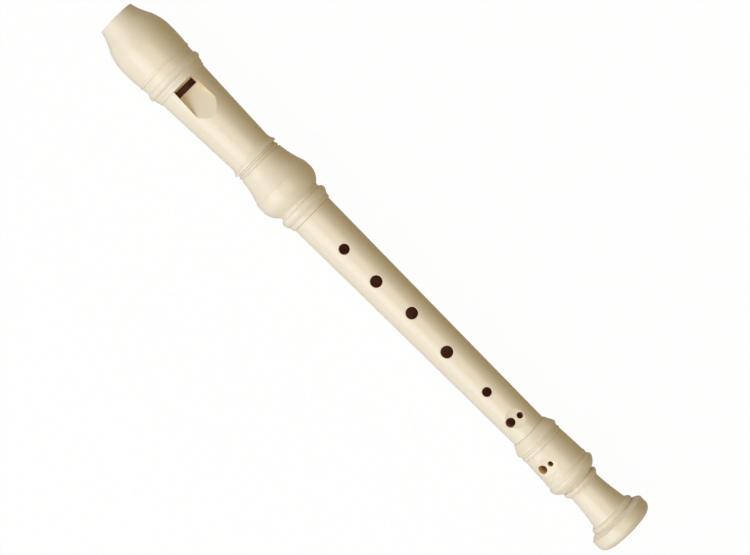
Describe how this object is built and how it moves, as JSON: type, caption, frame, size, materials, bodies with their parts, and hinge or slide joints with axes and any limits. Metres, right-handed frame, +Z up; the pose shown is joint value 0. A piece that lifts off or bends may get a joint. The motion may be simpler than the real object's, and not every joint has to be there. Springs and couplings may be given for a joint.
{
  "type": "recorder",
  "caption": "Soprano recorder in ivory plastic: beak and block with windway, window and labium, a bulbous socket, a tapered middle joint with finger holes, and a turned foot joint.",
  "frame": {"origin": "under the middle of the recorder's length, on the surface it lies on", "axes": "+X along the bore from the beak to the foot, +Z up, the way the window and the finger holes face, +Y to the side of the small hole of each double hole"},
  "size_m": [0.33, 0.0302, 0.0303],
  "materials": {
    "ivory_plastic": "satin moulded ivory ABS with a soft gloss",
    "block_plastic": "finely textured ivory ABS"
  },
  "bodies": {
    "middle": {"middle_joint": "ivory_plastic"},
    "head": {"beak": "ivory_plastic", "block": "block_plastic", "head_tube": "ivory_plastic", "head_socket": "ivory_plastic"},
    "foot": {"foot_joint": "ivory_plastic"}
  },
  "joints": [
    {"name": "head_slide", "type": "slide", "parent": "middle", "child": "head", "axis": [-1, 0, 0], "range_m": [0, 0.0197]},
    {"name": "foot_twist", "type": "hinge", "parent": "middle", "child": "foot", "pos_m": [0.1007, 0, 0.01514], "axis": [1, 0, 0], "continuous": true}
  ]
}
